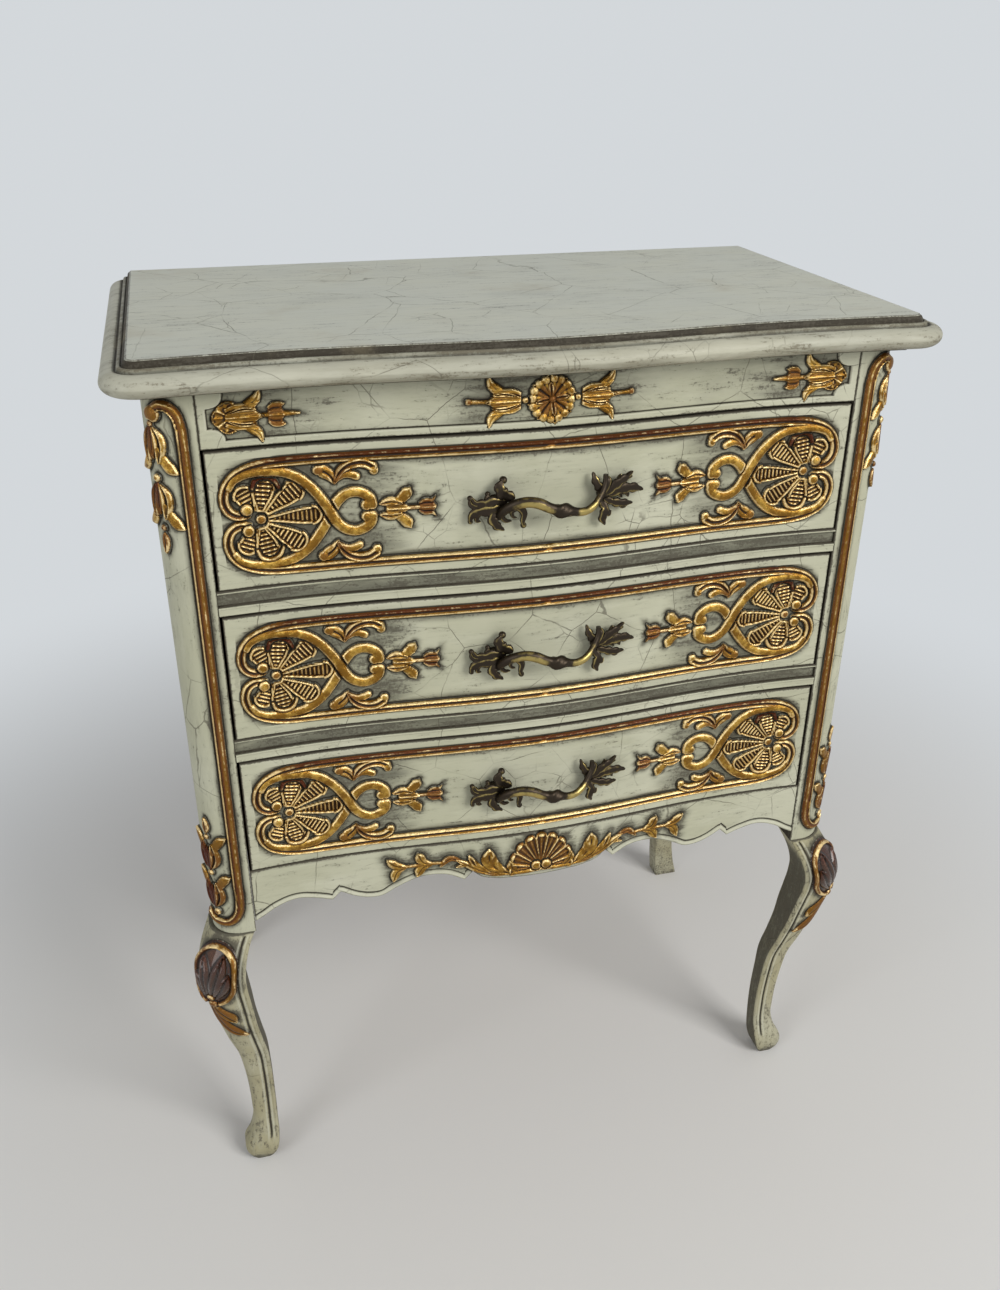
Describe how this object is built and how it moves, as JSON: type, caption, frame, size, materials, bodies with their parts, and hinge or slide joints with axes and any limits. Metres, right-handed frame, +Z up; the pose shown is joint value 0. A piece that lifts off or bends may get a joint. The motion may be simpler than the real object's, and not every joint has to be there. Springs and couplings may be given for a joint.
{
  "type": "commode chest of drawers",
  "caption": "Serpentine-fronted commode chest on cabriole legs, with carved gilt drawer fronts, bronze pulls and a moulded top.",
  "frame": {"origin": "on the floor, under the middle of the whole chest", "axes": "+Z up, -Y out of the front, +X to the right of someone who faces the front"},
  "size_m": [0.667, 0.412, 0.85],
  "materials": {
    "painted_wood": "aged sage green paint, cracked and glazed",
    "gilt_carving": "aged sage green paint with rubbed gilding on the relief",
    "bare_wood": "bare beech",
    "plywood": "bare plywood",
    "bronze": "dark patinated bronze",
    "steel": "plain zinc plated"
  },
  "bodies": {
    "carcase": {"top_board": "painted_wood", "top_screw_front_left": "steel", "top_screw_front_right": "steel", "top_screw_rear_left": "steel", "top_screw_rear_right": "steel", "top_rail_front": "bare_wood", "top_rail_back": "bare_wood", "bottom_rail_front": "bare_wood", "bottom_rail_back": "bare_wood", "front_stile_left": "gilt_carving", "front_stile_right": "gilt_carving", "leg_front_left": "painted_wood", "leg_front_right": "painted_wood", "rear_post_left": "painted_wood", "rear_post_right": "painted_wood", "side_panel_left": "painted_wood", "side_panel_right": "painted_wood", "back_panel": "plywood", "frieze_rail": "gilt_carving", "rail_upper": "painted_wood", "rail_lower": "painted_wood", "apron": "gilt_carving", "runner_1_left": "bare_wood", "runner_1_right": "bare_wood", "runner_2_left": "bare_wood", "runner_2_right": "bare_wood", "runner_3_left": "bare_wood", "runner_3_right": "bare_wood", "kicker_left": "bare_wood", "kicker_right": "bare_wood", "drawer_stop_1": "bare_wood", "drawer_stop_2": "bare_wood", "drawer_stop_3": "bare_wood"},
    "drawer_1": {"drawer_1_front": "gilt_carving", "drawer_1_side_left": "bare_wood", "drawer_1_side_right": "bare_wood", "drawer_1_back": "bare_wood", "drawer_1_bottom": "plywood", "drawer_1_pull": "bronze", "drawer_1_pull_bolt_left": "steel", "drawer_1_pull_bolt_right": "steel"},
    "drawer_2": {"drawer_2_front": "gilt_carving", "drawer_2_side_left": "bare_wood", "drawer_2_side_right": "bare_wood", "drawer_2_back": "bare_wood", "drawer_2_bottom": "plywood", "drawer_2_pull": "bronze", "drawer_2_pull_bolt_left": "steel", "drawer_2_pull_bolt_right": "steel"},
    "drawer_3": {"drawer_3_front": "gilt_carving", "drawer_3_side_left": "bare_wood", "drawer_3_side_right": "bare_wood", "drawer_3_back": "bare_wood", "drawer_3_bottom": "plywood", "drawer_3_pull": "bronze", "drawer_3_pull_bolt_left": "steel", "drawer_3_pull_bolt_right": "steel"}
  },
  "joints": [
    {"name": "drawer_1_slide", "type": "slide", "parent": "carcase", "child": "drawer_1", "axis": [0, -1, 0], "range_m": [0, 0.235]},
    {"name": "drawer_2_slide", "type": "slide", "parent": "carcase", "child": "drawer_2", "axis": [0, -1, 0], "range_m": [0, 0.235]},
    {"name": "drawer_3_slide", "type": "slide", "parent": "carcase", "child": "drawer_3", "axis": [0, -1, 0], "range_m": [0, 0.235]}
  ]
}
